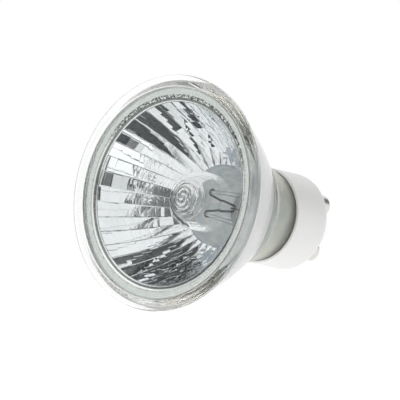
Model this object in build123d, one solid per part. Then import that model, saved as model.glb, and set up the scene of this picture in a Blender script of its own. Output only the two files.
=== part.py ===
from build123d import *
import math
import os

# Reflector halogen lamp, sizes in millimetres. The lamp axis is Y: the face looks along -Y, the pins point
# along +Y, and Y = 0 is the flat end of the base where the pins come out. Depths run back from the front rim.

# Rim of the pressed-glass reflector
rim_diameter = 50.7
rim_edge_land = 0.9
rim_edge_round = 0.25
rim_bevel = 1.05
lip_width = 2.45
ledge_width = 2.15

# Cover glass and its bond
cover_thickness = 1.1
cover_set_back = 0.1
cover_edge_gap = 0.15
bond_thickness = 0.15
bond_inset = 0.2

# Faceted mirror bowl: a paraboloid cut into flat facets, in columns about the axis and rows down the bowl
bowl_depth = 17.3
facet_inset = 1.0
facet_end_radius = 8.95
facet_columns = 36
facet_rows = 10
facet_lead_in = 0.6
facet_step = 0.1

# Outside of the bowl, its shoulder ring and the neck behind it
bowl_belly_inset = 4.05
bowl_belly_depth = 8.7
shoulder_radius = 13.1
shoulder_depth = 22.4
shoulder_ring_height = 0.35
shoulder_ring_width = 0.9
neck_front_radius = 12.7
neck_mouth_radius = 10.0
neck_seat_radius = 9.3
neck_step_length = 0.8
neck_seat_length = 4.7
neck_bore_step = 0.2
neck_bore_draft = 0.85

# Ceramic base
rim_to_seat = 46.5
mouth_depth = 33.0
base_mouth_radius = 10.55
base_end_radius = 10.65
base_bevel = 3.0
base_bevel_round = 2.0
base_mouth_round = 0.3
base_end_wall = 3.5
base_cavity_radius = 8.1
mouth_lip = 0.35
cement_gap = 0.2

# Contact pins
pin_spacing = 10.0
pin_reach = 7.5
pin_shank_radius = 1.5
pin_head_radius = 2.45
pin_head_length = 2.8
pin_head_round = 0.7
pin_neck_chamfer = 0.25
pin_collar_radius = 2.2
pin_collar_length = 0.8
pin_bore_radius = 0.45
pin_tip_wall = 1.0
pin_hole_gap = 0.05

# Quartz capsule
capsule_radius = 6.45
capsule_wall = 1.0
capsule_tip_depth = 6.05
capsule_tip_wall = 1.4
capsule_tip_radius = 2.3
capsule_tip_height = 0.3
capsule_body_end = 24.5
capsule_closing_length = 4.0
pinch_width = 12.0
pinch_thickness = 3.4
pinch_length = 9.5
pinch_round = 0.5
seal_gap = 0.02

# Filament, its supports and the leads
filament_radius = 0.28
filament_bend_radius = 0.6
filament_front_depth = 15.0
filament_front_height = 2.35
filament_rear_depth = 22.9
filament_tail_depth = 23.7
support_wire_radius = 0.13
support_offset = 0.8
support_arm = 1.5
support_bend_radius = 0.3
support_root = 2.0
hook_gap = 0.03
lead_spacing = 6.0
lead_in_radius = 0.3
outer_lead_radius = 0.3
outer_lead_bend = 0.8
lead_jog_length = 1.8
lead_jog_setback = 0.5
weld_overlap = 1.2
weld_flat = 0.15
weld_gap = 0.01
tail_gap = 0.05
foil_width = 2.4
foil_thickness = 0.05
foil_length = 6.0
foil_inset = 1.6
fuse_radius = 0.9
fuse_length = 2.6
fuse_clearance = 0.2
cement_front_inset = 2.0
cement_cover = 0.5

# Places worked out from the sizes above
rim_radius = rim_diameter / 2
recess_radius = rim_radius - lip_width
ledge_radius = recess_radius - ledge_width
ledge_depth = cover_set_back + cover_thickness + bond_thickness
facet_start_radius = ledge_radius - facet_inset
facet_start_depth = ledge_depth + facet_lead_in
facet_end_depth = facet_start_depth + bowl_depth
bowl_belly_radius = rim_radius - bowl_belly_inset
neck_bore_radius = facet_end_radius * math.cos(math.pi / facet_columns) - neck_bore_step
neck_step_depth = mouth_depth + neck_step_length
neck_end_depth = neck_step_depth + neck_seat_length
cup_radius = neck_seat_radius + cement_gap
cup_floor_depth = neck_end_depth + cement_gap
cavity_floor_depth = rim_to_seat - base_end_wall
capsule_dome_depth = capsule_tip_depth + capsule_radius
capsule_bore_radius = capsule_radius - capsule_wall
capsule_rear_depth = capsule_body_end + capsule_closing_length
pinch_end_depth = capsule_rear_depth + pinch_length - support_root
foil_front_depth = capsule_rear_depth + foil_inset - weld_overlap
foil_rear_depth = foil_front_depth + foil_length
foil_offset = weld_flat + weld_gap + foil_thickness / 2


def at(depth):
    """Y position of a depth behind the front rim."""
    return depth - rim_to_seat


def outline(*points):
    """Corners of a turned profile, given as radius and depth."""
    return [(radius, at(depth)) for radius, depth in points]


def turned(*edges):
    """Solid turned about the lamp axis from the edges of a closed profile of radius and depth."""
    return revolve(make_face(list(edges)), Axis.Y)


def turned_polygon(*points):
    """Solid turned about the lamp axis from straight-sided corners of radius and depth."""
    return turned(*Polyline(*outline(*points), close=True).edges())


def disc(radius, front, back):
    """Cylinder on the lamp axis between two depths."""
    return turned_polygon((0, front), (radius, front), (radius, back), (0, back))


def ball_end(edge_radius, edge_depth, apex_depth):
    """Arc of a ball-shaped end centred on the lamp axis, from its edge to its apex."""
    height = apex_depth - edge_depth
    chord = math.hypot(edge_radius, height)
    ball_radius = chord ** 2 / (2 * height)
    middle = (chord / 2, apex_depth - ball_radius * (1 - edge_radius / chord))
    return ThreePointArc(*outline((edge_radius, edge_depth), middle, (0, apex_depth)))


def wire(path_points, radius, bend_radius=None):
    """Round wire along points of X, depth and height, with rounded corners where it has any."""
    points = [(x, at(depth), height) for x, depth, height in path_points]
    if bend_radius is None:
        path = Polyline(*points)
    else:
        path = FilletPolyline(*points, radius=bend_radius)
    return sweep(Plane(path @ 0, z_dir=path % 0) * Circle(radius), path=path)


def facet_corner(row, column):
    """One corner of the facet net: rows step evenly inwards, and flats face along X and Z."""
    radius = facet_start_radius + row / facet_rows * (facet_end_radius - facet_start_radius)
    share = (facet_start_radius ** 2 - radius ** 2) / (facet_start_radius ** 2 - facet_end_radius ** 2)
    depth = facet_start_depth + share * bowl_depth
    angle = 2 * math.pi * (column + 0.5) / facet_columns
    return (radius * math.sin(angle), at(depth), radius * math.cos(angle))


def facet_ring(row):
    """All corners of one row of the facet net."""
    return [facet_corner(row, column) for column in range(facet_columns)]


def flat_face(corners):
    """Flat face with straight sides."""
    return Face(Wire.make_polygon(corners, close=True))


def facet_core():
    """Solid that fills the mirror bowl, bounded by its flat facets."""
    faces = [flat_face(facet_ring(0)), flat_face(facet_ring(facet_rows))]
    for row in range(facet_rows):
        for column in range(facet_columns):
            following = (column + 1) % facet_columns
            faces.append(flat_face([
                facet_corner(row, column),
                facet_corner(row, following),
                facet_corner(row + 1, following),
                facet_corner(row + 1, column),
            ]))
    return Solid(Shell(faces))


def reflector_outside():
    """Pressed-glass blank: rim, bowl, shoulder ring and neck, solid inside."""
    bowl_start = (rim_radius - rim_bevel, rim_edge_land + rim_bevel)
    ring_front = shoulder_depth - shoulder_ring_width / 2
    ring_back = shoulder_depth + shoulder_ring_width / 2
    front = Polyline(*outline(
        (0, 0),
        (rim_radius - rim_edge_round, 0),
        (rim_radius, rim_edge_round),
        (rim_radius, rim_edge_land),
        bowl_start,
    ))
    belly = ThreePointArc(*outline(
        bowl_start,
        (bowl_belly_radius, bowl_belly_depth),
        (shoulder_radius, ring_front),
    ))
    ring = ThreePointArc(*outline(
        (shoulder_radius, ring_front),
        (shoulder_radius + shoulder_ring_height, shoulder_depth),
        (neck_front_radius, ring_back),
    ))
    neck = Polyline(*outline(
        (neck_front_radius, ring_back),
        (neck_mouth_radius, mouth_depth),
        (neck_seat_radius, neck_step_depth),
        (neck_seat_radius, neck_end_depth),
        (0, neck_end_depth),
        (0, 0),
    ))
    return turned(*front.edges(), belly, ring, *neck.edges())


def neck_bore(inset=0.0, front=facet_end_depth, back=neck_end_depth):
    """Tapered hole through the glass neck, or a plug that fits it with an inset, between two depths."""
    slope = neck_bore_draft / (neck_end_depth - facet_end_depth)
    front_radius = neck_bore_radius - slope * (front - facet_end_depth) - inset
    back_radius = neck_bore_radius - slope * (back - facet_end_depth) - inset
    return turned_polygon((0, front), (front_radius, front), (back_radius, back), (0, back))


def reflector():
    """Pressed-glass reflector with recess, ledge, flat facets and a hollow neck."""
    lead_in = turned_polygon(
        (0, ledge_depth),
        (ledge_radius, ledge_depth),
        (facet_start_radius + facet_step, facet_start_depth),
        (0, facet_start_depth),
    )
    blank = reflector_outside() - disc(recess_radius, 0, ledge_depth) - lead_in
    return blank - facet_core() - neck_bore()


def front_glass():
    """Flat cover glass, nearly flush with the rim."""
    return disc(recess_radius - cover_edge_gap, cover_set_back, cover_set_back + cover_thickness)


def front_glass_adhesive():
    """Flat bond ring on the ledge, under the edge of the cover glass."""
    bond_front = cover_set_back + cover_thickness
    outer = disc(recess_radius - bond_inset, bond_front, ledge_depth)
    return outer - disc(ledge_radius + bond_inset, bond_front, ledge_depth)


def pinch(grow=0.0):
    """Flat press seal behind the capsule, or the space it fills when grown by a gap."""
    front = capsule_rear_depth - support_root
    length = pinch_end_depth - front
    block = Box(pinch_thickness + 2 * grow, length + 2 * grow, pinch_width + 2 * grow)
    block = fillet(block.edges().filter_by(Axis.Y), pinch_round)
    return Pos(0, at(front + length / 2), 0) * block


def capsule_outside():
    """Outer form of the quartz tube: tipped-off dome, body and rounded closing at the pinch."""
    tip_edge = capsule_dome_depth - math.sqrt(capsule_radius ** 2 - capsule_tip_radius ** 2)
    tip_apex = capsule_tip_depth - capsule_tip_height
    shoulder = capsule_radius * math.sqrt(0.5)
    tip = ball_end(capsule_tip_radius, tip_edge, tip_apex)
    dome = ThreePointArc(*outline(
        (capsule_tip_radius, tip_edge),
        (shoulder, capsule_dome_depth - shoulder),
        (capsule_radius, capsule_dome_depth),
    ))
    body = Line(*outline((capsule_radius, capsule_dome_depth), (capsule_radius, capsule_body_end)))
    closing = ball_end(capsule_radius, capsule_body_end, capsule_rear_depth)
    core = Line(*outline((0, capsule_rear_depth), (0, tip_apex)))
    return turned(tip, dome, body, closing, core)


def capsule_inside():
    """Gas space of the capsule, with a thick glass end behind the tip."""
    front_end = capsule_tip_depth + capsule_tip_wall
    rear_end = capsule_rear_depth - capsule_wall
    dome = ball_end(capsule_bore_radius, capsule_dome_depth, front_end)
    body = Line(*outline((capsule_bore_radius, capsule_dome_depth), (capsule_bore_radius, capsule_body_end)))
    closing = ball_end(capsule_bore_radius, capsule_body_end, rear_end)
    core = Line(*outline((0, rear_end), (0, front_end)))
    return turned(dome, body, closing, core)


def capsule_envelope():
    """Quartz tube with its pinch, less the gas space and what is sealed in the glass."""
    glass = capsule_outside() + pinch() - capsule_inside()
    for side in (1, -1):
        glass -= wire(lead_in_route(side), lead_in_radius + seal_gap)
        glass -= wire(outer_lead_route(side), outer_lead_radius + seal_gap, outer_lead_bend)
        glass -= seal_foil(side, seal_gap)
        glass -= front_support(side, seal_gap)
    return glass - rear_support(seal_gap)


def around(depth, height, angle):
    """Point on a filament bend, at an angle turned from straight back towards the top."""
    reach = filament_bend_radius
    return (0, at(depth + reach * math.cos(angle)), height + reach * math.sin(angle))


def filament_half(side):
    """Middle line of the upper or lower half of the filament, from its tail to the rear bend's middle."""
    front = filament_front_depth + filament_bend_radius
    rear = filament_rear_depth - filament_bend_radius
    tail_run = filament_tail_depth - front
    tail_rise = lead_spacing / 2 - filament_front_height
    tail_length = math.hypot(tail_run, tail_rise)
    tail_slope = math.atan2(tail_rise, tail_run) - math.asin(filament_bend_radius / tail_length)
    leg_run = rear - front
    leg_length = math.hypot(leg_run, filament_front_height)
    leg_slope = math.atan2(filament_front_height, leg_run) - math.asin(2 * filament_bend_radius / leg_length)
    quarter = math.pi / 2
    height = side * filament_front_height
    tail = (0, at(filament_tail_depth), side * lead_spacing / 2)
    front_in = around(front, height, side * (quarter + tail_slope))
    front_apex = around(front, height, math.pi)
    front_out = around(front, height, -side * (quarter + leg_slope))
    rear_in = around(rear, 0, side * (quarter - leg_slope))
    rear_middle = around(rear, 0, side * (quarter - leg_slope) / 2)
    rear_apex = around(rear, 0, 0)
    return [
        Line(tail, front_in),
        ThreePointArc(front_in, front_apex, front_out),
        Line(front_out, rear_in),
        ThreePointArc(rear_in, rear_middle, rear_apex),
    ]


def filament():
    """Coil body of the filament, folded into a W between the two lead-in wires."""
    path = Wire(filament_half(1) + filament_half(-1))
    return sweep(Plane(path @ 0, z_dir=path % 0) * Circle(filament_radius), path=path)


def hook(depth, height, grow=0.0):
    """Support wire from the pinch, turned across the filament plane so that a bend hangs on it."""
    path = [
        (support_offset, capsule_rear_depth, height),
        (support_offset, depth, height),
        (support_offset - support_arm, depth, height),
    ]
    return wire(path, support_wire_radius + grow, support_bend_radius)


def front_support(side, grow=0.0):
    """Support inside one of the filament's two front bends."""
    reach = filament_radius + support_wire_radius + hook_gap
    return hook(filament_front_depth + reach, side * filament_front_height, grow)


def rear_support(grow=0.0):
    """Support inside the filament's rear bend."""
    reach = filament_radius + support_wire_radius + hook_gap
    return hook(filament_rear_depth - reach, 0, grow)


def press_flat(side, front, radius):
    """Block that takes the foil side off a wire, over the length that is pressed and welded on the foil."""
    block = Box(radius, weld_overlap, 2 * radius, align=(Align.MAX, Align.MIN, Align.CENTER))
    return Pos(-weld_flat, at(front), side * lead_spacing / 2) * block


def lead_in_route(side):
    """Middle line of a lead-in wire, from a filament tail to its weld on the foil."""
    height = side * lead_spacing / 2
    return [(0, filament_tail_depth + tail_gap, height), (0, foil_front_depth + weld_overlap, height)]


def lead_in_wire(side):
    """Wire from a filament tail into the pinch, with a flat where it lies on the foil."""
    return wire(lead_in_route(side), lead_in_radius) - press_flat(side, foil_front_depth, lead_in_radius)


def seal_foil(side, grow=0.0):
    """Thin foil sealed in the pinch beside the ends of its two wires."""
    block = Box(foil_thickness + 2 * grow, foil_length + 2 * grow, foil_width + 2 * grow)
    return Pos(-foil_offset, at(foil_front_depth + foil_length / 2), side * lead_spacing / 2) * block


def outer_lead_route(side):
    """Middle line of an outer lead: from the foil out of the pinch, then a jog out into the hollow pin."""
    jog_end = cavity_floor_depth - pin_collar_length - lead_jog_setback
    return [
        (0, foil_rear_depth - weld_overlap, side * lead_spacing / 2),
        (0, jog_end - lead_jog_length, side * lead_spacing / 2),
        (0, jog_end, side * pin_spacing / 2),
        (0, rim_to_seat + pin_reach - pin_tip_wall - tail_gap, side * pin_spacing / 2),
    ]


def outer_lead(side):
    """Lead from the foil to the tip of the hollow pin, with a flat where it lies on the foil."""
    lead = wire(outer_lead_route(side), outer_lead_radius, outer_lead_bend)
    return lead - press_flat(side, foil_rear_depth - weld_overlap, outer_lead_radius)


def lead_fuse():
    """Fuse bead on the straight part of the lower lead, just behind the pinch."""
    front = at(pinch_end_depth + cement_cover + fuse_clearance)
    bead = Cylinder(fuse_radius, fuse_length) - Cylinder(outer_lead_radius + seal_gap, fuse_length)
    return Pos(0, front + fuse_length / 2, -lead_spacing / 2) * Rot(90, 0, 0) * bead


def capsule_cement():
    """Cement plug round the pinch, filling the glass neck."""
    plug = neck_bore(seal_gap, capsule_rear_depth + cement_front_inset, pinch_end_depth + cement_cover)
    for side in (1, -1):
        plug -= wire(outer_lead_route(side), outer_lead_radius + seal_gap, outer_lead_bend)
    return plug - pinch(seal_gap) - capsule_outside()


def base_cement():
    """Cement sleeve between the glass neck and the ceramic cup."""
    outer = disc(cup_radius - seal_gap, neck_step_depth + cement_gap, neck_end_depth)
    return outer - disc(neck_seat_radius + seal_gap, neck_step_depth + cement_gap, neck_end_depth)


def ceramic_base():
    """Ceramic cup with a countersunk mouth, a cavity for the leads and a softly bevelled end with pin holes."""
    bevel_front = (base_end_radius, rim_to_seat - base_bevel)
    bevel_back = (base_end_radius - base_bevel, rim_to_seat)
    mouth_radius = base_mouth_radius - mouth_lip
    profile = make_face(Polyline(*outline(
        (mouth_radius, mouth_depth),
        (base_mouth_radius - base_mouth_round, mouth_depth),
        (base_mouth_radius, mouth_depth + base_mouth_round),
        bevel_front,
        bevel_back,
        (0, rim_to_seat),
        (0, cavity_floor_depth),
        (base_cavity_radius, cavity_floor_depth),
        (base_cavity_radius, cup_floor_depth),
        (cup_radius, cup_floor_depth),
        (cup_radius, neck_step_depth),
    ), close=True))
    corners = [profile.vertices().sort_by_distance(corner)[0] for corner in outline(bevel_front, bevel_back)]
    body = revolve(fillet(corners, base_bevel_round), Axis.Y)
    for side in (1, -1):
        body -= on_pin_axis(side, disc(pin_shank_radius + pin_hole_gap, cavity_floor_depth, rim_to_seat))
    return body


def on_pin_axis(side, piece):
    """Moves a piece turned about the lamp axis out to the upper or lower pin."""
    return Pos(0, 0, side * pin_spacing / 2) * piece


def contact_pin(side):
    """Hollow contact pin with a rounded head, held by a collar inside the base."""
    inner_end = cavity_floor_depth - pin_collar_length
    head_front = rim_to_seat + pin_reach - pin_head_length
    tip = rim_to_seat + pin_reach
    sides = Polyline(*outline(
        (0, inner_end),
        (pin_collar_radius, inner_end),
        (pin_collar_radius, cavity_floor_depth),
        (pin_shank_radius, cavity_floor_depth),
        (pin_shank_radius, head_front),
        (pin_head_radius - pin_neck_chamfer, head_front),
        (pin_head_radius, head_front + pin_neck_chamfer),
        (pin_head_radius, tip - pin_head_round),
    ))
    corner = pin_head_round * (1 - math.sqrt(0.5))
    crown = ThreePointArc(*outline(
        (pin_head_radius, tip - pin_head_round),
        (pin_head_radius - corner, tip - corner),
        (pin_head_radius - pin_head_round, tip),
    ))
    end = Polyline(*outline((pin_head_radius - pin_head_round, tip), (0, tip), (0, inner_end)))
    solid = turned(*sides.edges(), crown, *end.edges())
    return on_pin_axis(side, solid - disc(pin_bore_radius, inner_end, tip - pin_tip_wall))


pieces = {
    "reflector": reflector(),
    "front_glass": front_glass(),
    "front_glass_adhesive": front_glass_adhesive(),
    "capsule_envelope": capsule_envelope(),
    "filament": filament(),
    "filament_support_rear": rear_support(),
    "lead_fuse": lead_fuse(),
    "capsule_cement": capsule_cement(),
    "base_cement": base_cement(),
    "ceramic_base": ceramic_base(),
}
for name, side in (("upper", 1), ("lower", -1)):
    pieces[f"filament_support_{name}"] = front_support(side)
    pieces[f"lead_in_wire_{name}"] = lead_in_wire(side)
    pieces[f"seal_foil_{name}"] = seal_foil(side)
    pieces[f"outer_lead_{name}"] = outer_lead(side)
    pieces[f"contact_pin_{name}"] = contact_pin(side)

os.makedirs("parts", exist_ok=True)
for name, solid in pieces.items():
    export_step(solid, f"parts/{name}.step")
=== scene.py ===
import math

import bmesh
import bpy
from mathutils import Matrix, Vector


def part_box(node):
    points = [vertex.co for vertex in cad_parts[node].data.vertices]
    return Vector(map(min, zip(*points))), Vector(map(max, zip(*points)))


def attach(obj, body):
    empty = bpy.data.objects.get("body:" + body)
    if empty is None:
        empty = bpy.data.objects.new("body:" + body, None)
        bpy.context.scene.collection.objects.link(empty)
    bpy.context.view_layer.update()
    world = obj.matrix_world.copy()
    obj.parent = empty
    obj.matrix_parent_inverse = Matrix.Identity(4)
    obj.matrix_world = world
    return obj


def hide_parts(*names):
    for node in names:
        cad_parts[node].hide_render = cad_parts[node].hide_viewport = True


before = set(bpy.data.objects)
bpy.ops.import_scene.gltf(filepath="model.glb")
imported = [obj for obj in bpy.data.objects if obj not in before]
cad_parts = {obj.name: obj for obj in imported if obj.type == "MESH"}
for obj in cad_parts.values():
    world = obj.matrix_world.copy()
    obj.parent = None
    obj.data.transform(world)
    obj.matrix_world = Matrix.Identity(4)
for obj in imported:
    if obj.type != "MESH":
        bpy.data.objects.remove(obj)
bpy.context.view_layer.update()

MM = 0.001
FULL_TURN = 2 * math.pi

# Places read from the frame: the lamp axis is Y, the face looks along -Y and the base ends at Y = 0
RIM_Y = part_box("reflector")[0].y
RIM_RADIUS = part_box("reflector")[1].x
NECK_END_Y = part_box("reflector")[1].y
COVER_BACK_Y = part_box("front_glass")[1].y
COVER_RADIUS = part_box("front_glass")[1].x
LEDGE_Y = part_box("front_glass_adhesive")[1].y
CAPSULE_FRONT_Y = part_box("capsule_envelope")[0].y
CAPSULE_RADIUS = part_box("capsule_envelope")[1].x
PINCH_END_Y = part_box("capsule_envelope")[1].y

# Steps of turned shapes and small roundings
TURN_STEPS = 288
ROUND_STEPS = 4

# Pressed glass: radii, and depths behind the front rim
RECESS_RADIUS = COVER_RADIUS + 0.15 * MM
RECESS_ROUND = 0.2 * MM
LEDGE_RADIUS = RECESS_RADIUS - 2.15 * MM
RIM_ROUND = 0.35 * MM
RIM_LAND = 0.9 * MM
RIM_BEVEL = 1.05 * MM
BELLY_RADIUS = RIM_RADIUS - 4.05 * MM
BELLY_DEPTH = 8.7 * MM
BELLY_STEPS = 24
SHOULDER_RADIUS = 13.1 * MM
SHOULDER_DEPTH = 22.4 * MM
SHOULDER_HALF_WIDTH = 0.45 * MM
SHOULDER_HEIGHT = 0.35 * MM
SHOULDER_STEPS = 8
NECK_FRONT_RADIUS = 12.7 * MM
NECK_MOUTH_RADIUS = 10.0 * MM
NECK_MOUTH_DEPTH = 33.0 * MM
NECK_SEAT_RADIUS = 9.3 * MM
NECK_STEP_DEPTH = 33.8 * MM
GLASS_SMOOTH_BELOW = math.radians(25)

# Mirror coat: a net of facets on a paraboloid, with raised seams between its columns
FACET_COLUMNS = 36
FACET_ROWS = 10
FACET_STEPS_ACROSS = 4
FACET_STEPS_DOWN = 3
FACET_START_RADIUS = LEDGE_RADIUS - 1.0 * MM
FACET_END_RADIUS = 8.95 * MM
FACET_START_Y = LEDGE_Y + 0.6 * MM
FACET_DEPTH = 17.3 * MM
FACET_BULGE = 0.0015 * MM
FACET_UNEVENNESS = 0.012 * MM
FACET_MERGE = 0.006 * MM
FACET_ROUNDING = 0.001
BULGE_AT_MIDDLE = 16
SEAM_SHARE_ACROSS = 0.035
SEAM_SHARE_DOWN = 0.03
SEAM_CHANGE = 0.15
SEAM_LIFT = 0.05 * MM
SEAM_LIFT_LEAST = 0.4
SEAM_LIFT_CHANGE = 1.2
SEAM_FACES_BEYOND = 0.25
SEAM_CORNERS_BEYOND = 0.4
SEAM_NUMBER = 1000
CORNER_KIND = 0.0
SEAM_KIND = 1.0
COAT_THICKNESS = 0.03 * MM
COAT_TO_GLASS = 0.08 * MM

# Bore of the neck, which starts just inside the last row of facets
BORE_FRONT_RADIUS = FACET_END_RADIUS * math.cos(math.pi / FACET_COLUMNS) - 0.2 * MM
BORE_BACK_RADIUS = BORE_FRONT_RADIUS - 0.85 * MM

# Bond under the edge of the cover glass
BOND_INSET = 0.2 * MM
BOND_ROOM = 0.03 * MM

# Quartz capsule: radii, and depths behind the front rim
CAPSULE_WALL = 1.0 * MM
TIP_DEPTH = 6.05 * MM
TIP_WALL = 1.4 * MM
TIP_RADIUS = 2.3 * MM
TIP_STEPS = 10
DOME_DEPTH = TIP_DEPTH + CAPSULE_RADIUS
DOME_STEPS = 24
BODY_END_DEPTH = 24.5 * MM
REAR_DEPTH = 28.5 * MM
REAR_STEPS = 20
PINCH_FRONT_DEPTH = 26.5 * MM
PINCH_THICKNESS = 3.4 * MM
PINCH_WIDTH = 12.0 * MM
PINCH_ROUND = 0.5 * MM
SPACE_FRONT_STEPS = 48
SPACE_REAR_STEPS = 16
PIP_HEIGHT = 1.0 * MM
PIP_POWER = 1.2
SWIRL_RADIUS = 4.1 * MM
SWIRL_PITCH = 0.9 * MM
SWIRL_HEIGHT = 0.09 * MM
SWIRL_OFFSET = 0.25 * MM
SWIRL_LEAN = 1.6 * MM
SWIRL_FADE_POWER = 12
QUARTZ_SMOOTH_BELOW = math.radians(30)

# Filament coil along its folded path
COIL_RADIUS = 0.19 * MM
COIL_WIRE_RADIUS = 0.05 * MM
COIL_WIRE_SIDES = 6
COIL_PITCH = 0.18 * MM
COIL_STEPS = 14
COIL_THIN_SHARE = 0.19
COIL_FULL_SHARE = 0.225
TAIL_WIRE_SHARE = 0.6
BEND_RADIUS = 0.6 * MM
BEND_STEPS = 10
FRONT_BEND_DEPTH = 15.0 * MM
FRONT_BEND_HEIGHT = 2.35 * MM
REAR_BEND_DEPTH = 22.9 * MM
TAIL_DEPTH = 23.7 * MM
TAIL_HEIGHT = 3.0 * MM

# Where finishes change, in millimetres: from the axis, up from it, or behind the front rim
LEDGE_AT = LEDGE_RADIUS / MM
COVER_AT = COVER_RADIUS / MM
# Radii of a dark line of painted shade in the crease where the lead-in meets the ledge
COAT_SHADE_LINE = (LEDGE_AT - 0.75, LEDGE_AT - 0.65, LEDGE_AT - 0.3, LEDGE_AT - 0.2)
COAT_SPECKS = (LEDGE_AT - 0.65, LEDGE_AT - 0.25, LEDGE_AT + 0.05, LEDGE_AT + 0.25)
COAT_SPECKS_UP = (4.0, 14.0)
COAT_SPECK_LEVEL = 0.48
BOND_SPECKS = (LEDGE_AT + 0.25, LEDGE_AT + 0.65)
BOND_SPECKS_UP = (6.0, 15.0)
BOND_SPECK_LEVEL = 0.5
COVER_TINT = (LEDGE_AT - 0.25, COVER_AT - 0.15)
COVER_CUT = (COVER_AT - 0.35, COVER_AT - 0.25)
WAVES_BEHIND = (3.0, 8.0)

# Camera: viewing angle, roll and distance found from the rim's ellipse and the lamp's length
IMAGE_SIDE = 400
SENSOR = 36.0
FOCAL_PIXELS = 3545.0
VIEW_AZIMUTH = math.radians(40.0)
VIEW_ROLL = math.radians(13.19)
VIEW_DISTANCE = 750 * MM
RIM_RIGHT_OF_MIDDLE = -7.64 * MM
RIM_BELOW_MIDDLE = -1.607 * MM
CLIP_START = 10 * MM

# Stage: light of each part of the studio, as azimuth, elevation and reach in degrees, and level
STUDIO_LEVEL = 0.9
STUDIO_ZONES = [
    (180, 0, 85, 1.0),
    (42, 35, 44, 0.02),
    (-7, 16, 29, 1.15),
    (-30, 37, 24, 1.35),
    (19, 48, 8.4, 0.02),
    (-15, -6, 18, 0.6),
    (110, 35, 30, 1.25),
    (160, 38, 20, 0.12),
    (-40, 0, 2.2, 0.2),
]
ZONE_SOFTNESS = 3
ZONE_SOFT_SHARE = 1 / 3
WHITE = (1, 1, 1, 1)
FLOOR_COLOUR = (0.8, 0.8, 0.8, 1)
FLOOR_ROUGHNESS = 0.9
FLOOR_Z = -52 * MM
FLOOR_RADIUS = 1.0
FLOOR_GLOW = 0.4


class Link:
    """An output of a node, used in plain sums that add Math nodes."""

    def __init__(self, bench, socket):
        self.bench = bench
        self.socket = socket

    def __add__(self, other):
        return self.bench.maths("ADD", self, other)

    def __sub__(self, other):
        return self.bench.maths("SUBTRACT", self, other)

    def __rsub__(self, other):
        return self.bench.maths("SUBTRACT", other, self)

    def __mul__(self, other):
        return self.bench.maths("MULTIPLY", self, other)

    def __truediv__(self, other):
        return self.bench.maths("DIVIDE", self, other)

    def __rtruediv__(self, other):
        return self.bench.maths("DIVIDE", other, self)

    def __pow__(self, other):
        return self.bench.maths("POWER", self, other)

    def __gt__(self, other):
        return self.bench.maths("GREATER_THAN", self, other)

    __radd__ = __add__
    __rmul__ = __mul__


class Node:
    """A node whose outputs are read by name or number."""

    def __init__(self, bench, node):
        self.bench = bench
        self.node = node

    def __getitem__(self, key):
        return Link(self.bench, self.node.outputs[key])


class Bench:
    """A node tree that takes nodes by type, settings and socket values."""

    def __init__(self, tree):
        self.tree = tree

    def add(self, kind, settings=None, sockets=None):
        node = self.tree.nodes.new(kind)
        for name, value in (settings or {}).items():
            setattr(node, name, value)
        for key, value in (sockets or {}).items():
            if isinstance(value, Link):
                self.tree.links.new(value.socket, node.inputs[key])
            else:
                node.inputs[key].default_value = value
        return Node(self, node)

    def maths(self, operation, *values):
        return self.add("ShaderNodeMath", {"operation": operation}, dict(enumerate(values)))["Value"]

    def vector_maths(self, operation, *values):
        return self.add("ShaderNodeVectorMath", {"operation": operation}, dict(enumerate(values)))[0]

    def scaled(self, vector, factor):
        sockets = {"Vector": vector, "Scale": factor}
        return self.add("ShaderNodeVectorMath", {"operation": "SCALE"}, sockets)[0]

    def vector(self, x=0.0, y=0.0, z=0.0):
        return self.add("ShaderNodeCombineXYZ", {}, {"X": x, "Y": y, "Z": z})[0]

    def parts(self, vector):
        return self.add("ShaderNodeSeparateXYZ", {}, {"Vector": vector})

    def mix_colours(self, factor, first, second):
        return self.add("ShaderNodeMix", {"data_type": "RGBA"}, {0: factor, 6: first, 7: second})[2]

    def smooth_step(self, value, low, high):
        sockets = {"Value": value, "From Min": low, "From Max": high}
        return self.add("ShaderNodeMapRange", {"interpolation_type": "SMOOTHSTEP"}, sockets)[0]

    def band(self, value, start, full, fade, end):
        return self.smooth_step(value, start, full) * (1 - self.smooth_step(value, fade, end))


def between(share, low, high):
    """Value that runs from low to high with a share."""
    return share * (high - low) + low


def at_depth(depth):
    """Y place of a depth behind the front rim."""
    return RIM_Y + depth


# Materials

def new_material(name):
    """Empty node material, its bench and its object coordinates in millimetres."""
    material = bpy.data.materials.new(name)
    material.use_nodes = True
    material.node_tree.nodes.clear()
    bench = Bench(material.node_tree)
    place = bench.add("ShaderNodeTexCoord")["Object"]
    return material, bench, bench.scaled(place, 1 / MM)


def add_surface(bench, sockets):
    """Gives a material its shader and its output."""
    shader = bench.add("ShaderNodeBsdfPrincipled", {}, sockets)["BSDF"]
    bench.add("ShaderNodeOutputMaterial", {}, {"Surface": shader})


def noise(bench, place, scale, detail=2.0, roughness=0.5):
    sockets = {"Vector": place, "Scale": scale, "Detail": detail, "Roughness": roughness}
    return bench.add("ShaderNodeTexNoise", {}, sockets)["Fac"]


def bump(bench, height, strength, distance):
    sockets = {"Height": height, "Strength": strength, "Distance": distance}
    return bench.add("ShaderNodeBump", {}, sockets)["Normal"]


def radius_at(bench, place):
    """Distance from the lamp axis, in millimetres."""
    part = bench.parts(place)
    return (part["X"] * part["X"] + part["Z"] * part["Z"]) ** 0.5


def cover_glass():
    """Clear flat glass, a touch greener towards its edge, which is cut and dull."""
    material, bench, place = new_material("cover_glass")
    radius = radius_at(bench, place)
    tint = bench.smooth_step(radius, *COVER_TINT)
    cut = bench.smooth_step(radius, *COVER_CUT)
    add_surface(bench, {
        "Base Color": bench.mix_colours(tint, (0.99, 0.995, 0.99, 1), (0.98, 0.995, 0.985, 1)),
        "Roughness": between(noise(bench, place, scale=1.7), 0.0, 0.01) + between(cut, 0.0, 0.6),
        "IOR": 1.5,
        "Transmission Weight": 1.0,
    })
    return material


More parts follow.
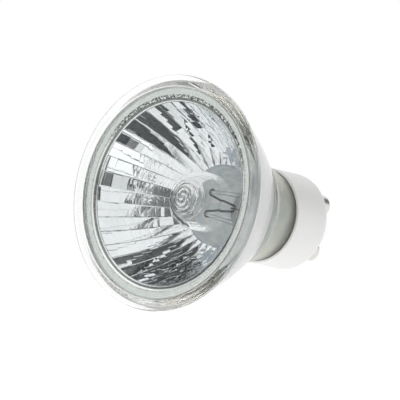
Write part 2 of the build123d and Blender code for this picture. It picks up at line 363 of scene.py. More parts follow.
def quartz():
    """Clear quartz with a clean melted surface."""
    material, bench, place = new_material("quartz")
    add_surface(bench, {
        "Base Color": (0.99, 0.99, 0.99, 1),
        "Roughness": between(noise(bench, place, scale=1.7), 0.0, 0.01),
        "IOR": 1.46,
        "Transmission Weight": 1.0,
    })
    return material


def pressed_glass(name, dark, light, roughness, clearness, ior):
    """Pressed glass, whose surface has soft waves behind the rim."""
    material, bench, place = new_material(name)
    waves = noise(bench, place, scale=0.35, detail=1.0)
    depth = bench.parts(place)["Y"] - RIM_Y / MM
    height = waves * bench.smooth_step(depth, *WAVES_BEHIND)
    add_surface(bench, {
        "Base Color": bench.mix_colours(waves, dark, light),
        "Roughness": between(noise(bench, place, scale=1.7), roughness, roughness + 0.01),
        "IOR": ior,
        "Transmission Weight": clearness,
        "Normal": bump(bench, height, strength=0.01, distance=1.0 * MM),
    })
    return material


def mirror_coat():
    """Bright metal coat on the facets, each facet a touch lighter or darker, with duller seams."""
    material, bench, place = new_material("mirror_coat")
    facet = bench.add("ShaderNodeAttribute", {"attribute_name": "facet"})["Fac"]
    shade = bench.add("ShaderNodeTexWhiteNoise", {"noise_dimensions": "1D"}, {"W": facet})["Value"]
    colour = bench.mix_colours(shade, (0.90, 0.915, 0.925, 1), (0.95, 0.96, 0.97, 1))
    seam = facet > SEAM_NUMBER
    add_surface(bench, {
        "Base Color": bench.mix_colours(seam, colour, (0.78, 0.80, 0.81, 1)),
        "Metallic": 1.0,
        "Roughness": between(noise(bench, place, scale=0.9), 0.004, 0.014) + between(seam, 0.0, 0.1),
    })
    return material


def satin_coat():
    """Satin coat over the lead-in and the ledge, with painted shade as a dark line in the crease where they
    meet, and dark specks at the top.
    """
    material, bench, place = new_material("satin_coat")
    radius = radius_at(bench, place)
    spots = noise(bench, place, scale=2.2, detail=3.0, roughness=0.7) > COAT_SPECK_LEVEL
    upper = bench.smooth_step(bench.parts(place)["Z"], *COAT_SPECKS_UP)
    specks = bench.band(radius, *COAT_SPECKS) * spots * upper
    # Painted shade: a near-black line along the crease under the edge of the cover glass
    line = between(bench.band(radius, *COAT_SHADE_LINE), 0.0, 0.8)
    clouds = noise(bench, place, scale=0.4, detail=3.0)
    colour = bench.mix_colours(clouds, (0.94, 0.97, 0.955, 1), (0.98, 0.995, 0.985, 1))
    # The painted shade line and the dark specks both take the near-black colour below
    shade_line_and_specks = bench.maths("MAXIMUM", line, specks)
    add_surface(bench, {
        "Base Color": bench.mix_colours(shade_line_and_specks, colour, (0.08, 0.09, 0.085, 1)),
        "Metallic": 1.0,
        "Roughness": between(clouds, 0.22, 0.32),
    })
    return material


def frosted_glass():
    """Dull, blotched inside of the glass neck, which lets soft light through."""
    material, bench, place = new_material("frosted_glass")
    clouds = noise(bench, place, scale=0.4, detail=3.0)
    blotches = bench.smooth_step(clouds, low=0.3, high=0.7)
    add_surface(bench, {
        "Base Color": bench.mix_colours(blotches, (0.44, 0.56, 0.68, 1), (0.74, 0.83, 0.94, 1)),
        "Metallic": 0.5,
        "Roughness": between(clouds, 0.4, 0.6),
        "IOR": 1.5,
        "Transmission Weight": 1.0,
    })
    return material


def coat_back():
    """Back of the mirror coat, seen through the glass: pale satin metal."""
    material, bench, place = new_material("coat_back")
    clouds = noise(bench, place, scale=0.4, detail=3.0)
    add_surface(bench, {
        "Base Color": bench.mix_colours(clouds, (0.93, 0.93, 0.92, 1), (0.97, 0.97, 0.96, 1)),
        "Metallic": 0.6,
        "Roughness": between(clouds, 0.1, 0.2),
    })
    return material


def drawn_metal(name, dark, light, smoothest, roughest):
    """Wire, foil or plated metal with faint drawing marks and dull patches."""
    material, bench, place = new_material(name)
    stretched = bench.add("ShaderNodeMapping", {}, {"Vector": place, "Scale": (6.0, 0.8, 6.0)})["Vector"]
    marks = noise(bench, stretched, scale=2.0, detail=3.0)
    patches = noise(bench, place, scale=0.8)
    add_surface(bench, {
        "Base Color": bench.mix_colours(patches, dark, light),
        "Metallic": 1.0,
        "Roughness": between(marks, smoothest, roughest),
        "Normal": bump(bench, marks, strength=0.1, distance=0.05 * MM),
    })
    return material


def white_ceramic():
    """Smooth fired ceramic: warm white with a faint mottle, a soft shine and a very fine grain."""
    material, bench, place = new_material("white_ceramic")
    mottle = noise(bench, place, scale=0.25, detail=3.0)
    grain = noise(bench, place, scale=9.0)
    add_surface(bench, {
        "Base Color": bench.mix_colours(mottle, (0.855, 0.85, 0.84, 1), (0.915, 0.91, 0.90, 1)),
        "Roughness": between(grain, 0.32, 0.44),
        "Normal": bump(bench, grain, strength=0.12, distance=0.03 * MM),
    })
    return material


def cement():
    """Rough pale cement with grit."""
    material, bench, place = new_material("cement")
    grit = noise(bench, place, scale=3.0, detail=4.0, roughness=0.7)
    patches = noise(bench, place, scale=0.6)
    add_surface(bench, {
        "Base Color": bench.mix_colours(patches, (0.80, 0.79, 0.76, 1), (0.90, 0.89, 0.86, 1)),
        "Roughness": between(grit, 0.7, 0.9),
        "Normal": bump(bench, grit, strength=0.6, distance=0.15 * MM),
    })
    return material


def clear_bond():
    """Clear bond under the cover glass, with dark specks along its inner edge, most at the top."""
    material, bench, place = new_material("bond")
    runs = noise(bench, place, scale=0.5, detail=3.0)
    inner = 1 - bench.smooth_step(radius_at(bench, place), *BOND_SPECKS)
    spots = noise(bench, place, scale=2.8, detail=1.0) > BOND_SPECK_LEVEL
    upper = between(bench.smooth_step(bench.parts(place)["Z"], *BOND_SPECKS_UP), 0.2, 1.0)
    colour = bench.mix_colours(runs, (0.98, 0.99, 0.98, 1), (0.995, 1.0, 0.995, 1))
    add_surface(bench, {
        "Base Color": bench.mix_colours(spots * upper * inner, colour, (0.05, 0.055, 0.05, 1)),
        "Roughness": between(runs, 0.1, 0.2),
        "IOR": 1.42,
        "Transmission Weight": 1.0,
        "Normal": bump(bench, runs, strength=0.2, distance=0.2 * MM),
    })
    return material


# Pieces

def add_piece(name, mesh, slot, *nodes):
    """Piece of the lamp that stands for CAD nodes."""
    piece = bpy.data.objects.new(name, mesh)
    bpy.context.scene.collection.objects.link(piece)
    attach(piece, "root")
    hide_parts(*nodes)
    return piece


def finish_piece(name, shape, materials, slot, *nodes):
    """Turns a worked shape into a piece of the lamp."""
    mesh = bpy.data.meshes.new(name)
    shape.to_mesh(mesh)
    shape.free()
    for material in materials:
        mesh.materials.append(material)
    return add_piece(name, mesh, slot, *nodes)


def evaluated_mesh(holder):
    """Plain mesh of an object as its modifiers leave it."""
    evaluated = holder.evaluated_get(bpy.context.evaluated_depsgraph_get())
    return bpy.data.meshes.new_from_object(evaluated)


def grown_mesh(name, sizes, material, build, source):
    """Mesh grown by a node tree with named sizes from a starting shape."""
    tree = bpy.data.node_groups.new(name, "GeometryNodeTree")
    tree.interface.new_socket("Shape", in_out="INPUT", socket_type="NodeSocketGeometry")
    for size_name in sizes:
        tree.interface.new_socket(size_name, in_out="INPUT", socket_type="NodeSocketFloat")
    tree.interface.new_socket("Shape", in_out="OUTPUT", socket_type="NodeSocketGeometry")
    bench = Bench(tree)
    shape = build(bench, bench.add("NodeGroupInput"))
    shape = bench.add("GeometryNodeRealizeInstances", {}, {"Geometry": shape})["Geometry"]
    shape = bench.add("GeometryNodeSetMaterial", {}, {"Geometry": shape, "Material": material})["Geometry"]
    bench.add("NodeGroupOutput", {}, {"Shape": shape})
    holder = bpy.data.objects.new(name, source)
    bpy.context.scene.collection.objects.link(holder)
    modifier = holder.modifiers.new(name, "NODES")
    modifier.node_group = tree
    for item in tree.interface.items_tree:
        if item.in_out == "INPUT" and item.name in sizes:
            modifier[item.identifier] = float(sizes[item.name])
    mesh = evaluated_mesh(holder)
    bpy.data.objects.remove(holder)
    return mesh


def off_middle(bench, share):
    """Distance of a share from its middle."""
    return bench.maths("ABSOLUTE", share - 0.5)


def chance(bench, column, row, kind):
    """Fixed chance between 0 and 1 for a column, a row and a kind of thing."""
    number = bench.vector(column, row, kind)
    return bench.add("ShaderNodeTexWhiteNoise", {"noise_dimensions": "3D"}, {"Vector": number})["Value"]


def corner_lift(bench, column, row, columns, u, v):
    """Lift at a place on a facet, spread evenly between chance lifts of its four corners."""
    lifts = []
    for side, across in ((0, 1 - u), (1, u)):
        for end, down in ((0, 1 - v), (1, v)):
            height = chance(bench, bench.maths("MODULO", column + side, columns), row + end, CORNER_KIND)
            lifts.append((height - 0.5) * (across * down))
    return sum(lifts)


def facet_net(bench, given):
    """Net of flat facets: columns about the axis, rows stepping evenly in towards the neck."""
    columns, rows = given["Columns"], given["Rows"]
    grid = bench.add("GeometryNodeMeshGrid", {}, {
        "Size X": 1.0,
        "Size Y": 1.0,
        "Vertices X": columns * given["Steps Across"] + 1,
        "Vertices Y": rows * given["Steps Down"] + 1,
    })["Mesh"]
    place = bench.parts(bench.add("GeometryNodeInputPosition")["Position"])
    across = (place["X"] + 0.5) * columns
    down = (place["Y"] + 0.5) * rows
    column = bench.maths("FLOOR", across + FACET_ROUNDING)
    row = bench.maths("FLOOR", down + FACET_ROUNDING)
    even_u, even_v = across - column, down - row
    seam_face = off_middle(bench, even_u) > SEAM_FACES_BEYOND
    seam_corner = off_middle(bench, even_u) > SEAM_CORNERS_BEYOND
    numbered = bench.add("GeometryNodeStoreNamedAttribute", {"data_type": "INT", "domain": "FACE"}, {
        "Geometry": grid,
        "Name": "facet",
        "Value": column + row * columns + 1 + seam_face * SEAM_NUMBER,
    })["Geometry"]
    seam = bench.maths("MODULO", column + (even_u > 0.5), columns)
    seam_chance = chance(bench, seam, row, SEAM_KIND)
    pull = given["Seam Pull Across"] * (1 - given["Seam Change"] * seam_chance)
    u = even_u - pull * bench.maths("SINE", even_u * FULL_TURN)
    v = even_v - given["Seam Pull Down"] * bench.maths("SINE", even_v * FULL_TURN)
    step = (given["End Radius"] - given["Start Radius"]) / rows
    near = given["Start Radius"] + row * step
    radius = near + v * step
    fall = given["Depth"] / (given["Start Radius"] ** 2 - given["End Radius"] ** 2)
    near_depth = (given["Start Radius"] ** 2 - near ** 2) * fall
    drop = (near ** 2 - (near + step) ** 2) * fall
    first = (column + 0.5) * (FULL_TURN / columns)
    second = (column + 1.5) * (FULL_TURN / columns)
    sine = bench.maths("SINE", first) * (1 - u) + bench.maths("SINE", second) * u
    cosine = bench.maths("COSINE", first) * (1 - u) + bench.maths("COSINE", second) * u
    lift = given["Bulge"] * BULGE_AT_MIDDLE * u * (1 - u) * v * (1 - v)
    lift = lift + given["Unevenness"] * corner_lift(bench, column, row, columns, u, v)
    seam_height = SEAM_LIFT_LEAST + SEAM_LIFT_CHANGE * seam_chance
    lift = lift + given["Seam Lift"] * seam_height * seam_corner + given["Lift"]
    slope = (step * step + drop * drop) ** 0.5
    inward = radius - lift * drop / slope
    forward = given["Start Y"] + near_depth + v * drop + lift * step / slope
    point = bench.vector(inward * sine, forward, inward * cosine)
    net = bench.add("GeometryNodeSetPosition", {}, {"Geometry": numbered, "Position": point})["Geometry"]
    sockets = {"Geometry": net, "Distance": FACET_MERGE}
    return bench.add("GeometryNodeMergeByDistance", {}, sockets)["Geometry"]


def arc(start, middle, end, steps):
    """Points of an arc through three points of radius and Y, without its first point."""
    (ax, ay), (bx, by), (cx, cy) = start, middle, end
    turn = 2 * (ax * (by - cy) + bx * (cy - ay) + cx * (ay - by))
    a, b, c = ax * ax + ay * ay, bx * bx + by * by, cx * cx + cy * cy
    x = (a * (by - cy) + b * (cy - ay) + c * (ay - by)) / turn
    y = (a * (cx - bx) + b * (ax - cx) + c * (bx - ax)) / turn
    first = math.atan2(ay - y, ax - x)
    sweep = math.remainder(math.atan2(by - y, bx - x) - first, FULL_TURN)
    sweep += math.remainder(math.atan2(cy - y, cx - x) - math.atan2(by - y, bx - x), FULL_TURN)
    size = math.hypot(ax - x, ay - y)
    angles = [first + sweep * step / steps for step in range(1, steps + 1)]
    return [(x + size * math.cos(angle), y + size * math.sin(angle)) for angle in angles]


def rounded(corner, before, after, size):
    """Points of a small rounding at a corner of an outline, from its side before to its side after."""
    corner, before, after = Vector(corner), Vector(before), Vector(after)
    start = corner + (before - corner).normalized() * size
    end = corner + (after - corner).normalized() * size
    shares = [step / ROUND_STEPS for step in range(ROUND_STEPS + 1)]
    return [tuple(start.lerp(corner, t).lerp(corner.lerp(end, t), t)) for t in shares]


def wall_outline():
    """Outline of the glass close behind the facets, from the neck to the front."""
    points = []
    fall = FACET_DEPTH / (FACET_START_RADIUS ** 2 - FACET_END_RADIUS ** 2)
    for step in range(2 * FACET_ROWS, 0, -1):
        radius = FACET_START_RADIUS + (FACET_END_RADIUS - FACET_START_RADIUS) * step / (2 * FACET_ROWS)
        y = FACET_START_Y + (FACET_START_RADIUS ** 2 - radius ** 2) * fall
        points.append((radius + COAT_TO_GLASS, y + COAT_TO_GLASS))
    return points


def glass_outline():
    """Stretches of the glass outline, each with the finish of the glass that leads up to its points.

    They run from behind the facets over the rim, down the outside and back through the bore.
    """
    lead_in = (FACET_START_RADIUS + COAT_TO_GLASS, FACET_START_Y)
    ledge_inner = (LEDGE_RADIUS, LEDGE_Y)
    ledge_outer = (RECESS_RADIUS, LEDGE_Y)
    lip_inner = (RECESS_RADIUS, RIM_Y)
    lip_outer = (RIM_RADIUS, RIM_Y)
    land_end = (RIM_RADIUS, at_depth(RIM_LAND))
    bowl_start = (RIM_RADIUS - RIM_BEVEL, at_depth(RIM_LAND + RIM_BEVEL))
    belly = (BELLY_RADIUS, at_depth(BELLY_DEPTH))
    ring_front = (SHOULDER_RADIUS, at_depth(SHOULDER_DEPTH - SHOULDER_HALF_WIDTH))
    ring_top = (SHOULDER_RADIUS + SHOULDER_HEIGHT, at_depth(SHOULDER_DEPTH))
    ring_back = (NECK_FRONT_RADIUS, at_depth(SHOULDER_DEPTH + SHOULDER_HALF_WIDTH))
    lip = rounded(lip_inner, ledge_outer, lip_outer, RECESS_ROUND)
    lip += rounded(lip_outer, lip_inner, land_end, RIM_ROUND)
    outside = arc(bowl_start, belly, ring_front, BELLY_STEPS)
    outside += arc(ring_front, ring_top, ring_back, SHOULDER_STEPS)
    neck = [
        (NECK_MOUTH_RADIUS, at_depth(NECK_MOUTH_DEPTH)),
        (NECK_SEAT_RADIUS, at_depth(NECK_STEP_DEPTH)),
        (NECK_SEAT_RADIUS, NECK_END_Y),
    ]
    return [
        ("coat back", wall_outline() + [lead_in]),
        ("ledge coat", rounded(ledge_inner, lead_in, ledge_outer, RECESS_ROUND) + [ledge_outer]),
        ("clear glass", lip),
        ("rim edge", rounded(land_end, lip_outer, bowl_start, RIM_ROUND) + [bowl_start]),
        ("clear glass", outside),
        ("neck", neck),
        ("clear glass", [(BORE_BACK_RADIUS, NECK_END_Y)]),
        ("bore", [(BORE_FRONT_RADIUS, FACET_START_Y + FACET_DEPTH + COAT_TO_GLASS)]),
    ]


def join_rings(shape, ring, following):
    """Faces between two rings of corners that are in the same order."""
    for step in range(len(ring)):
        after = (step + 1) % len(ring)
        shape.faces.new((ring[step], ring[after], following[after], following[step]))


def turned_rings(shape, points):
    """Rings of corners about the lamp axis, one for each point of an outline, joined by faces."""
    rings = []
    turns = [FULL_TURN * step / TURN_STEPS for step in range(TURN_STEPS)]
    for radius, y in points:
        places = [(radius * math.sin(turn), y, radius * math.cos(turn)) for turn in turns]
        rings.append([shape.verts.new(place) for place in places])
    for ring, following in zip(rings, rings[1:]):
        join_rings(shape, ring, following)
    return rings


def turn_about_axis(corner):
    """Turn of a corner about the lamp axis from the top, counted from just before the top."""
    return (math.atan2(corner.co.x, corner.co.z) + math.pi / TURN_STEPS) % FULL_TURN


def add_net(shape, lift):
    """Adds the net of facets to a shape, and gives its front and back rings of corners."""
    sizes = {
        "Columns": FACET_COLUMNS,
        "Rows": FACET_ROWS,
        "Steps Across": FACET_STEPS_ACROSS,
        "Steps Down": FACET_STEPS_DOWN,
        "Start Radius": FACET_START_RADIUS,
        "End Radius": FACET_END_RADIUS,
        "Start Y": FACET_START_Y,
        "Depth": FACET_DEPTH,
        "Bulge": FACET_BULGE,
        "Unevenness": FACET_UNEVENNESS,
        "Seam Pull Across": 1 / FACET_STEPS_ACROSS - SEAM_SHARE_ACROSS,
        "Seam Change": SEAM_CHANGE,
        "Seam Pull Down": (1 / FACET_STEPS_DOWN - SEAM_SHARE_DOWN) / math.sin(FULL_TURN / FACET_STEPS_DOWN),
        "Seam Lift": SEAM_LIFT,
        "Lift": lift,
    }
    net = grown_mesh("facet_net", sizes, None, facet_net, bpy.data.meshes.new("facet_start"))
    earlier = set(shape.faces)
    shape.from_mesh(net)
    faces = [face for face in shape.faces if face not in earlier]
    border = {corner for face in faces for corner in face.verts if corner.is_boundary}
    middle_y = FACET_START_Y + FACET_DEPTH / 2
    front = sorted((corner for corner in border if corner.co.y < middle_y), key=turn_about_axis)
    back = sorted((corner for corner in border if corner.co.y > middle_y), key=turn_about_axis)
    return front, back


def reflector(finishes):
    """Pressed-glass reflector: a turned body, and a thin mirror coat of facets just inside it."""
    names = list(finishes)
    shape = bmesh.new()
    front, back = add_net(shape, 0.0)
    behind_front, behind_back = add_net(shape, -COAT_THICKNESS)
    join_rings(shape, front, behind_front)
    join_rings(shape, back, behind_back)
    for face in shape.faces:
        face.material_index = names.index("mirror")
    stretches = glass_outline()
    rings = turned_rings(shape, [point for _, points in stretches for point in points])
    join_rings(shape, rings[-1], rings[0])
    bmesh.ops.recalc_face_normals(shape, faces=shape.faces)
    ring_finishes = [finish for finish, points in stretches for _ in points]
    ring_numbers = {corner: number for number, ring in enumerate(rings) for corner in ring}
    for face in shape.faces:
        if face.verts[0] in ring_numbers:
            last_ring = max(ring_numbers[corner] for corner in face.verts)
            face.material_index = names.index(ring_finishes[last_ring])
    facet_number = shape.faces.layers.int["facet"]
    for face in shape.faces:
        face.smooth = True
    for edge in shape.edges:
        one, other = edge.link_faces
        if one[facet_number] or other[facet_number]:
            edge.smooth = one[facet_number] == other[facet_number]
        else:
            edge.smooth = edge.calc_face_angle() < GLASS_SMOOTH_BELOW
    return finish_piece("reflector_glass", shape, finishes.values(), "mirrored_glass", "reflector")


def bond_ring(finish):
    """Bond between the cover glass and the ledge, with a hair of room on each side."""
    shape = bmesh.new()
    inner, outer = LEDGE_RADIUS + BOND_INSET, COVER_RADIUS - BOND_ROOM
    front, back = COVER_BACK_Y + BOND_ROOM, LEDGE_Y - BOND_ROOM
    rings = turned_rings(shape, [(inner, front), (outer, front), (outer, back), (inner, back)])
    join_rings(shape, rings[-1], rings[0])
    bmesh.ops.recalc_face_normals(shape, faces=shape.faces)
    return finish_piece("bond_ring", shape, (finish,), "clear_bond", "front_glass_adhesive")


def turned_body(shape, points):
    """Closed body turned from an outline whose first and last points lie on the axis."""
    rings = turned_rings(shape, points[1:-1])
    for ring, y in ((rings[0], points[0][1]), (rings[-1], points[-1][1])):
        pole = shape.verts.new((0, y, 0))
        for step in range(TURN_STEPS):
            shape.faces.new((ring[step], ring[(step + 1) % TURN_STEPS], pole))
    bmesh.ops.recalc_face_normals(shape, faces=shape.faces)


def ball_end(edge_radius, edge_y, apex_y, steps):
    """Points of a ball-shaped end from its edge to its apex on the axis, without the first."""
    height = apex_y - edge_y
    chord = math.hypot(edge_radius, height)
    ball = chord ** 2 / (2 * height)
    halfway = (chord / 2, apex_y - ball * (1 - edge_radius / chord))
    return arc((edge_radius, edge_y), halfway, (0, apex_y), steps)


def pinch_block(shape):
    """Flat pinch behind the capsule, with rounded long edges."""
    front_y = at_depth(PINCH_FRONT_DEPTH)
    size = Matrix.Diagonal((PINCH_THICKNESS, PINCH_END_Y - front_y, PINCH_WIDTH, 1))
    middle = Matrix.Translation((0, (front_y + PINCH_END_Y) / 2, 0))
    bmesh.ops.create_cube(shape, size=1.0, matrix=middle @ size)
    long_edges = [edge for edge in shape.edges if abs(edge.verts[0].co.y - edge.verts[1].co.y) > PINCH_ROUND]
    bmesh.ops.bevel(
        shape, geom=long_edges, offset=PINCH_ROUND, segments=ROUND_STEPS, profile=0.5, affect="EDGES")


def joined_mesh(name, make_one, make_other):
    """Mesh of two closed shapes joined into one."""
    pieces = []
    for make in (make_one, make_other):
        shape = bmesh.new()
        make(shape)
        mesh = bpy.data.meshes.new(name)
        shape.to_mesh(mesh)
        shape.free()
        pieces.append(bpy.data.objects.new(name, mesh))
        bpy.context.scene.collection.objects.link(pieces[-1])
    modifier = pieces[0].modifiers.new("join", "BOOLEAN")
    modifier.operation = "UNION"
    modifier.object = pieces[1]
    mesh = evaluated_mesh(pieces[0])
    for piece in pieces:
        bpy.data.objects.remove(piece)
    return mesh


def capsule_tube(shape):
    """Outside of the quartz tube: melted tip, dome, body and rounded closing."""
    dome_y = at_depth(DOME_DEPTH)
    tip_edge = (TIP_RADIUS, dome_y - math.sqrt(CAPSULE_RADIUS ** 2 - TIP_RADIUS ** 2))
    halfway = CAPSULE_RADIUS * math.sqrt(0.5)
    points = [(0, CAPSULE_FRONT_Y)]
    points += ball_end(*tip_edge, CAPSULE_FRONT_Y, TIP_STEPS)[-2::-1]
    points += [tip_edge]
    points += arc(tip_edge, (halfway, dome_y - halfway), (CAPSULE_RADIUS, dome_y), DOME_STEPS)
    points += [(CAPSULE_RADIUS, at_depth(BODY_END_DEPTH))]
    points += ball_end(CAPSULE_RADIUS, at_depth(BODY_END_DEPTH), at_depth(REAR_DEPTH), REAR_STEPS)
    turned_body(shape, points)


def swirl(x, z):
    """Depth of the glass pip inside the melted tip: a mound with rings that lean to one side."""
    share = math.hypot(x - SWIRL_OFFSET, z) / SWIRL_RADIUS
    if share >= 1:
        return 0.0
    middle = SWIRL_OFFSET - SWIRL_LEAN * (1 - share)
    ripple = math.cos(FULL_TURN * math.hypot(x - middle, z) / SWIRL_PITCH + math.atan2(z, x - middle))
    mound = PIP_HEIGHT * (1 - share ** 2) ** PIP_POWER
    return mound + SWIRL_HEIGHT * ripple * (1 - share ** SWIRL_FADE_POWER)


def gas_space():
    """Mesh of the space inside the capsule, facing inwards, with the swirled pip at its front."""
    bore = CAPSULE_RADIUS - CAPSULE_WALL
    dome_y = at_depth(DOME_DEPTH)
    points = ball_end(bore, dome_y, at_depth(TIP_DEPTH + TIP_WALL), SPACE_FRONT_STEPS)[::-1]
    points += [(bore, dome_y), (bore, at_depth(BODY_END_DEPTH))]
    points += ball_end(bore, at_depth(BODY_END_DEPTH), at_depth(REAR_DEPTH) - CAPSULE_WALL, SPACE_REAR_STEPS)
    shape = bmesh.new()
    turned_body(shape, points)
    bmesh.ops.reverse_faces(shape, faces=shape.faces)
    for corner in shape.verts:
        if corner.co.y < dome_y:
            corner.co.y += swirl(corner.co.x, corner.co.z)
    mesh = bpy.data.meshes.new("capsule_space")
    shape.to_mesh(mesh)
    shape.free()
    return mesh


def capsule(finish):
    """Quartz capsule with its gas space, its swirled tip and the pinch behind it."""
    shape = bmesh.new()
    shape.from_mesh(joined_mesh("capsule_outside", capsule_tube, pinch_block))
    shape.from_mesh(gas_space())
    for face in shape.faces:
        face.smooth = True
    for edge in shape.edges:
        edge.smooth = edge.calc_face_angle(0.0) < QUARTZ_SMOOTH_BELOW
    return finish_piece("capsule", shape, (finish,), "quartz", "capsule_envelope")


def bend(depth, height, first, last):
    """Points round a bend of the filament, between two angles turned from straight back towards the top."""
    points = []
    for step in range(BEND_STEPS + 1):
        angle = first + (last - first) * step / BEND_STEPS
        y = at_depth(depth + BEND_RADIUS * math.cos(angle))
        points.append((0, y, height + BEND_RADIUS * math.sin(angle)))
    return points


def filament_path():
    """Middle line of the filament: two front bends and a rear bend between straight legs."""
    front = FRONT_BEND_DEPTH + BEND_RADIUS
    rear = REAR_BEND_DEPTH - BEND_RADIUS
    tail_rise = TAIL_HEIGHT - FRONT_BEND_HEIGHT
    tail_run = TAIL_DEPTH - front
    tail_slope = math.atan2(tail_rise, tail_run) - math.asin(BEND_RADIUS / math.hypot(tail_run, tail_rise))
    leg = math.hypot(rear - front, FRONT_BEND_HEIGHT)
    leg_slope = math.atan2(FRONT_BEND_HEIGHT, rear - front) - math.asin(2 * BEND_RADIUS / leg)
    quarter = math.pi / 2
    upper = bend(front, FRONT_BEND_HEIGHT, quarter + tail_slope, 3 * quarter - leg_slope)
    middle = bend(rear, 0, quarter - leg_slope, leg_slope - quarter)
    lower = bend(front, -FRONT_BEND_HEIGHT, quarter + leg_slope, 3 * quarter - tail_slope)
    tail_y = at_depth(TAIL_DEPTH)
    return [(0, tail_y, TAIL_HEIGHT)] + upper + middle + lower + [(0, tail_y, -TAIL_HEIGHT)]


def coil(bench, given):
    """Wire wound round a path that lies in the plane of Y and Z, and left straight at the tails."""
    path = bench.add("GeometryNodeMeshToCurve", {}, {"Mesh": given["Shape"]})["Curve"]
    path = bench.add("GeometryNodeResampleCurve", {"mode": "LENGTH"}, {
        "Curve": path,
        "Length": given["Pitch"] / given["Steps"],
    })["Curve"]
    spline = bench.add("GeometryNodeSplineParameter")
    turn = spline["Length"] * (FULL_TURN / given["Pitch"])
    from_end = 0.5 - off_middle(bench, spline["Factor"])
    full = bench.smooth_step(from_end, given["Thin Share"], given["Full Share"])
    radius = given["Radius"] * full
    across = bench.vector(x=1.0)
    along = bench.add("GeometryNodeInputTangent")["Tangent"]
    upward = bench.vector_maths("CROSS_PRODUCT", along, across)
    sideways = bench.scaled(across, bench.maths("COSINE", turn) * radius)
    rise = bench.scaled(upward, bench.maths("SINE", turn) * radius)
    path = bench.add("GeometryNodeSetPosition", {}, {
        "Geometry": path,
        "Offset": bench.vector_maths("ADD", sideways, rise),
    })["Geometry"]
    path = bench.add("GeometryNodeSetCurveRadius", {}, {
        "Curve": path,
        "Radius": between(full, TAIL_WIRE_SHARE, 1.0),
    })["Curve"]
    section = bench.add("GeometryNodeCurvePrimitiveCircle", {}, {
        "Resolution": COIL_WIRE_SIDES,
        "Radius": given["Wire Radius"],
    })["Curve"]
    sockets = {"Curve": path, "Profile Curve": section, "Fill Caps": True}
    return bench.add("GeometryNodeCurveToMesh", {}, sockets)["Mesh"]


def filament(metal):
    """Coiled filament, folded into a W between the lead-in wires."""
    points = filament_path()
    line = bpy.data.meshes.new("filament_line")
    line.from_pydata(points, [(step, step + 1) for step in range(len(points) - 1)], [])
    sizes = {
        "Radius": COIL_RADIUS,
        "Wire Radius": COIL_WIRE_RADIUS,
        "Pitch": COIL_PITCH,
        "Steps": COIL_STEPS,
        "Thin Share": COIL_THIN_SHARE,
        "Full Share": COIL_FULL_SHARE,
    }
    mesh = grown_mesh("filament_coil", sizes, metal, coil, line)
    return add_piece("filament_coil", mesh, "tungsten", "filament")


def dress(material, *nodes):
    """Gives CAD nodes their finish."""
    for name in nodes:
        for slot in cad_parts[name].material_slots:
            slot.material = material


# Stage

def zone(bench, way, level, azimuth, elevation, reach, inside):
    """Changes the level of light within a reach, in degrees, of one direction."""
    a, e = math.radians(azimuth), math.radians(elevation)
    middle = (math.sin(a) * math.cos(e), -math.cos(a) * math.cos(e), math.sin(e))
    facing = bench.add("ShaderNodeVectorMath", {"operation": "DOT_PRODUCT"}, {0: way, 1: middle})["Value"]
    soft = min(ZONE_SOFTNESS, reach * ZONE_SOFT_SHARE)
    low, high = math.cos(math.radians(reach + soft)), math.cos(math.radians(reach - soft))
    share = bench.smooth_step(facing, low, high)
    return level * (1 - share) + share * inside


def surroundings():
    """World: white to the eye, and a studio of dark and bright parts in the lamp's mirror and glass."""
    world = bpy.data.worlds.new("studio")
    bpy.context.scene.world = world
    world.use_nodes = True
    world.node_tree.nodes.clear()
    bench = Bench(world.node_tree)
    way = bench.add("ShaderNodeTexCoord")["Generated"]
    level = STUDIO_LEVEL
    for azimuth, elevation, reach, inside in STUDIO_ZONES:
        level = zone(bench, way, level, azimuth, elevation, reach, inside)
    seen = bench.add("ShaderNodeLightPath")["Is Camera Ray"]
    strength = level + seen * (1 - level)
    background = bench.add("ShaderNodeBackground", {}, {"Color": WHITE, "Strength": strength})
    bench.add("ShaderNodeOutputWorld", {}, {"Surface": background["Background"]})


def floor():
    """Pale floor that keeps the shadow."""
    mesh = bpy.data.meshes.new("floor")
    turns = [FULL_TURN * step / TURN_STEPS for step in range(TURN_STEPS)]
    edge = [(FLOOR_RADIUS * math.cos(turn), FLOOR_RADIUS * math.sin(turn), FLOOR_Z) for turn in turns]
    mesh.from_pydata(edge, [], [range(TURN_STEPS)])
    piece = bpy.data.objects.new("floor", mesh)
    bpy.context.scene.collection.objects.link(piece)
    material, bench, _ = new_material("floor")
    paint = {"Base Color": FLOOR_COLOUR, "Roughness": FLOOR_ROUGHNESS}
    shader = bench.add("ShaderNodeBsdfPrincipled", {}, paint)["BSDF"]
    glow = bench.add("ShaderNodeEmission", {}, {"Color": WHITE, "Strength": FLOOR_GLOW})["Emission"]
    both = bench.add("ShaderNodeAddShader", {}, {0: shader, 1: glow})["Shader"]
    bench.add("ShaderNodeOutputMaterial", {}, {"Surface": both})
    mesh.materials.append(material)


def camera():
    """Camera at the photograph's place, turn and framing."""
    sine, cosine = math.sin(VIEW_AZIMUTH), math.cos(VIEW_AZIMUTH)
    forward = Vector((-sine, cosine, 0))
    level_right = Vector((cosine, sine, 0))
    up = Vector((0, 0, 1))
    right = level_right * math.cos(VIEW_ROLL) + up * math.sin(VIEW_ROLL)
    top = up * math.cos(VIEW_ROLL) - level_right * math.sin(VIEW_ROLL)
    rim = Vector((0, RIM_Y, 0))
    place = rim - right * RIM_RIGHT_OF_MIDDLE + top * RIM_BELOW_MIDDLE - forward * VIEW_DISTANCE
    data = bpy.data.cameras.new("camera")
    data.sensor_width = SENSOR
    data.lens = FOCAL_PIXELS / IMAGE_SIDE * SENSOR
    data.clip_start = CLIP_START
    piece = bpy.data.objects.new("camera", data)
    bpy.context.scene.collection.objects.link(piece)
    turn = Matrix((right, top, -forward)).transposed().to_4x4()
    piece.matrix_world = Matrix.Translation(place) @ turn
    bpy.context.scene.camera = piece


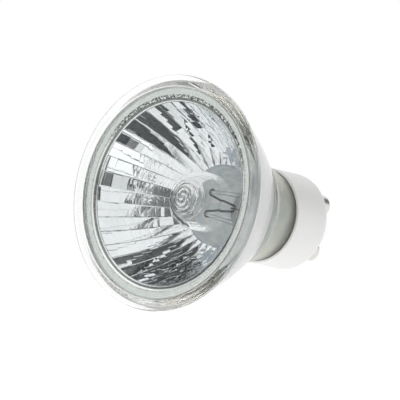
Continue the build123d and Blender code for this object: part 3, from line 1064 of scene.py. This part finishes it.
# Metals shared by several pieces
tungsten = drawn_metal(
    "tungsten", dark=(0.10, 0.10, 0.11, 1), light=(0.22, 0.22, 0.23, 1), smoothest=0.35, roughest=0.6)
bright_wire = drawn_metal(
    "bright_wire", dark=(0.70, 0.71, 0.73, 1), light=(0.84, 0.85, 0.87, 1), smoothest=0.15, roughest=0.3)
lead_metal = drawn_metal(
    "lead_wire", dark=(0.40, 0.39, 0.38, 1), light=(0.58, 0.57, 0.55, 1), smoothest=0.2, roughest=0.45)
pin_plate = drawn_metal(
    "pin_plate", dark=(0.66, 0.65, 0.62, 1), light=(0.80, 0.79, 0.76, 1), smoothest=0.18, roughest=0.4)

# Glass of the reflector: clear, with an edge that lets light out and a satin neck
CLEAR_DARK = (0.975, 0.985, 0.98, 1)
CLEAR_LIGHT = (0.995, 0.997, 0.995, 1)
clear_wall = pressed_glass("pressed_glass", CLEAR_DARK, CLEAR_LIGHT, roughness=0.0, clearness=1.0, ior=1.5)
rim_edge = pressed_glass("rim_edge", CLEAR_DARK, CLEAR_LIGHT, roughness=0.05, clearness=1.0, ior=1.15)
satin_neck = pressed_glass(
    "satin_neck", (0.90, 0.85, 0.68, 1), (0.95, 0.90, 0.74, 1), roughness=0.3, clearness=0.9, ior=1.25)

reflector({
    "clear glass": clear_wall,
    "mirror": mirror_coat(),
    "ledge coat": satin_coat(),
    "coat back": coat_back(),
    "bore": frosted_glass(),
    "neck": satin_neck,
    "rim edge": rim_edge,
})
filament(tungsten)
dress(tungsten, "filament_support_rear")
dress(cover_glass(), "front_glass")
bond_ring(clear_bond())
capsule(quartz())
dress(bright_wire, "filament_support_upper", "filament_support_lower")
dress(lead_metal, "lead_in_wire_upper", "lead_in_wire_lower", "seal_foil_upper", "seal_foil_lower")
dress(lead_metal, "outer_lead_upper", "outer_lead_lower")
dress(cement(), "capsule_cement", "base_cement", "lead_fuse")
dress(white_ceramic(), "ceramic_base")
dress(pin_plate, "contact_pin_upper", "contact_pin_lower")

surroundings()
floor()
camera()
bpy.context.scene.view_settings.view_transform = "Standard"
bpy.context.scene.cycles.max_bounces = 32
bpy.context.scene.cycles.glossy_bounces = 16
bpy.context.scene.cycles.transmission_bounces = 24
bpy.context.scene.cycles.diffuse_bounces = 6
